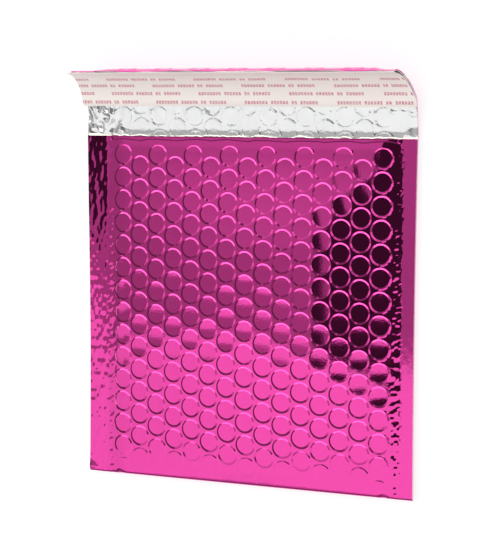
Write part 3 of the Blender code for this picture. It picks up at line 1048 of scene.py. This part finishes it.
# Lamp and floor, in metres and watts
LAMP_POWER = 3.6
LAMP_SIZE = 1.2
LAMP_PLACE = (-0.7, 0.5, 1.1)
FLOOR_REACH = 6.0
FLOOR_PAINT = (0.36, 0.36, 0.36, 1)
FLOOR_GLOW = 0.7

# Light from all round, as shares of white
AMBIENT = 0.84
BACKGROUND = 1.0


def camera():
    """The photograph's view, from the right and a little above."""
    made = bpy.data.objects.new("camera", bpy.data.cameras.new("camera"))
    bpy.context.scene.collection.objects.link(made)
    turn = (
        Matrix.Rotation(CAMERA_YAW, 4, "Y")
        @ Matrix.Rotation(-CAMERA_PITCH, 4, "X")
        @ Matrix.Rotation(CAMERA_ROLL, 4, "Z")
    )
    aim = MIDDLE + Vector((*CAMERA_AIM, FLOOR)) * MM
    place = aim + (turn @ Vector((0, 0, CAMERA_DISTANCE))) * MM
    made.matrix_world = Matrix.Translation(place) @ turn
    made.data.lens = CAMERA_LENS
    made.data.sensor_width = CAMERA_SENSOR
    made.data.clip_start = 0.01
    bpy.context.scene.camera = made


def lamp():
    """One large soft lamp at the upper left, which reflections don't show."""
    data = bpy.data.lights.new("softbox", "AREA")
    data.energy = LAMP_POWER
    data.shape = "DISK"
    data.size = LAMP_SIZE
    made = bpy.data.objects.new("softbox", data)
    bpy.context.scene.collection.objects.link(made)
    made.location = LAMP_PLACE
    made.rotation_euler = (-Vector(LAMP_PLACE)).to_track_quat("-Z", "Y").to_euler()
    made.visible_glossy = False


# What glossy rays see: levels are shares of white, and each pair (start, full) is where a zone comes in.
# x, y and z are the ray's direction: to the envelope's right, up it and out of its front
WALL_TURN_X = (-0.75, -0.35)
WALL_RISE_Y = (-0.1, 0.15)
LEFT_WALL = (0.32, 0.37)
RIGHT_WALL = (0.36, 0.53)
CURTAIN_X = (-0.247, -0.241)
CURTAIN = 0.035
SIDE_X = (0.27, 0.33)
SIDE = 0.5
SIDE_END_X = (0.78, 0.9)
SIDE_END = 0.05
HIGH_SIDE_X = (0.0, 0.06)
HIGH_SIDE_Y = (0.1, 0.16)
TABLE_Y = (-0.124, -0.129)
TABLE_TURN_X = (-0.75, -0.3)
TABLE = (0.84, 0.98)
TABLE_FADE_Y = (-0.48, -0.6)
TABLE_FADE = (1.0, 0.6)
SEAL_DROP_X = (-0.78, -0.84)
SEAL_DROP = 0.042
LEFT_RISE_X = (-0.66, -0.74)
LEFT_RISE = 0.014
RIGHT_DROP_X = -0.39
RIGHT_DROP_SLOPE = 0.16
RIGHT_DROP = 0.03
CORNER_X = (-0.42, -0.5)
CORNER_Z = (0.51, 0.47)
CORNER_FIRST_X = (-0.87, -0.82)
CORNER_FIRST = 0.05
CORNER_SECOND_X = (-0.72, -0.66)
CORNER_SECOND = 0.12
CORNER_LEVEL = 0.13
NEAR_Y = (-0.665, -0.705)
NEAR = 0.2
OVERHEAD_Y = (0.3, 0.6)
OVERHEAD = 2.5
OVERHEAD_COLOUR = (1, 0.97, 0.8, 1)


def wall_level(nodes, x, y):
    """The grey wall above the table, a dark curtain to its right, a paler side wall and its dark end."""
    left = nodes.ramp(y, *WALL_RISE_Y, *LEFT_WALL)
    right = nodes.ramp(y, *WALL_RISE_Y, *RIGHT_WALL)
    level = nodes.blend(nodes.ramp(x, *WALL_TURN_X), left, right)
    level = nodes.blend(nodes.ramp(x, *CURTAIN_X), level, CURTAIN)
    level = nodes.blend(nodes.ramp(x, *SIDE_X), level, SIDE)
    level = nodes.blend(nodes.ramp(x, *SIDE_END_X), level, SIDE_END)
    high_side = nodes.math("MULTIPLY", nodes.ramp(x, *HIGH_SIDE_X), nodes.ramp(y, *HIGH_SIDE_Y))
    return nodes.blend(high_side, level, SIDE)


def from_table_edge(nodes, x, y):
    """y, corrected for the table's far edge, which dips at both sides and rises a little by the left dip."""
    left = nodes.math("MULTIPLY", nodes.ramp(x, *SEAL_DROP_X), SEAL_DROP)
    left = nodes.math("MULTIPLY_ADD", nodes.ramp(x, *LEFT_RISE_X), -LEFT_RISE, left)
    past = nodes.math("MAXIMUM", nodes.math("SUBTRACT", x, RIGHT_DROP_X), 0.0)
    right = nodes.math("MINIMUM", nodes.math("MULTIPLY", past, RIGHT_DROP_SLOPE), RIGHT_DROP)
    return nodes.math("ADD", y, nodes.math("ADD", left, right))


def corner_share(nodes, x, z):
    """The dark corner at the left, low down, which reaches higher in two steps towards the right."""
    height = nodes.math("MULTIPLY_ADD", nodes.ramp(x, *CORNER_FIRST_X), -CORNER_FIRST, z)
    height = nodes.math("MULTIPLY_ADD", nodes.ramp(x, *CORNER_SECOND_X), -CORNER_SECOND, height)
    return nodes.math("MULTIPLY", nodes.ramp(height, *CORNER_Z), nodes.ramp(x, *CORNER_X))


def world():
    """A plain studio: soft even light, and for glossy rays a white table, a grey wall and dark sides."""
    made = bpy.data.worlds.new("studio")
    bpy.context.scene.world = made
    nodes = Nodes(made)
    way = nodes.add("ShaderNodeSeparateXYZ", {0: nodes.add("ShaderNodeTexCoord").outputs["Generated"]})
    x, y, z = way.outputs
    table = nodes.blend(nodes.ramp(x, *TABLE_TURN_X), *TABLE)
    table = nodes.math("MULTIPLY", table, nodes.ramp(y, *TABLE_FADE_Y, *TABLE_FADE))
    on_table = nodes.ramp(from_table_edge(nodes, x, y), *TABLE_Y)
    overhead = nodes.ramp(y, *OVERHEAD_Y)
    level = nodes.blend(on_table, wall_level(nodes, x, y), table)
    level = nodes.blend(corner_share(nodes, x, z), level, CORNER_LEVEL)
    level = nodes.blend(nodes.ramp(y, *NEAR_Y), level, NEAR)
    level = nodes.blend(overhead, level, OVERHEAD)
    rays = nodes.add("ShaderNodeLightPath")
    level = nodes.blend(rays.outputs["Is Glossy Ray"], AMBIENT, level)
    seen = nodes.math("MAXIMUM", rays.outputs["Is Camera Ray"], rays.outputs["Is Transmission Ray"])
    level = nodes.blend(seen, level, BACKGROUND)
    warm = nodes.math("MULTIPLY", overhead, rays.outputs["Is Glossy Ray"])
    colour = nodes.blend_colour(warm, (1, 1, 1, 1), OVERHEAD_COLOUR)
    background = nodes.add("ShaderNodeBackground", {"Color": colour, "Strength": level})
    nodes.add("ShaderNodeOutputWorld", {"Surface": background.outputs[0]})


def floor():
    """A pale floor that shows white to the camera and keeps the envelope's shadow."""
    mesh = bpy.data.meshes.new("floor")
    corners = [(x * FLOOR_REACH, y * FLOOR_REACH, 0) for x, y in ((-1, -1), (1, -1), (1, 1), (-1, 1))]
    mesh.from_pydata(corners, [], [[0, 1, 2, 3]])
    made = bpy.data.objects.new("floor", mesh)
    bpy.context.scene.collection.objects.link(made)
    finish = bpy.data.materials.new("floor")
    nodes = Nodes(finish)
    paint = nodes.add("ShaderNodeBsdfDiffuse", {"Color": FLOOR_PAINT})
    rays = nodes.add("ShaderNodeLightPath")
    seen = nodes.math("MAXIMUM", rays.outputs["Is Camera Ray"], rays.outputs["Is Glossy Ray"])
    seen = nodes.math("MAXIMUM", seen, rays.outputs["Is Transmission Ray"])
    strength = nodes.math("MULTIPLY", seen, FLOOR_GLOW)
    glow = nodes.add("ShaderNodeEmission", {"Color": (1, 1, 1, 1), "Strength": strength})
    both = nodes.add("ShaderNodeAddShader", {0: paint.outputs[0], 1: glow.outputs[0]})
    nodes.finish(both.outputs[0])
    mesh.materials.append(finish)


def main():
    foil = outer_film(foil_material())
    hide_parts("outer_film")
    lining = bubble_lining(lining_material())
    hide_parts("bubble_lining")
    liner = release_liner(liner_material())
    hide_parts("release_liner")
    adhesive = frame["nodes"]["adhesive_strip"]
    adhesive.data.materials.clear()
    adhesive.data.materials.append(adhesive_material())
    camera()
    lamp()
    world()
    floor()
    bpy.context.scene.view_settings.view_transform = "Standard"


main()
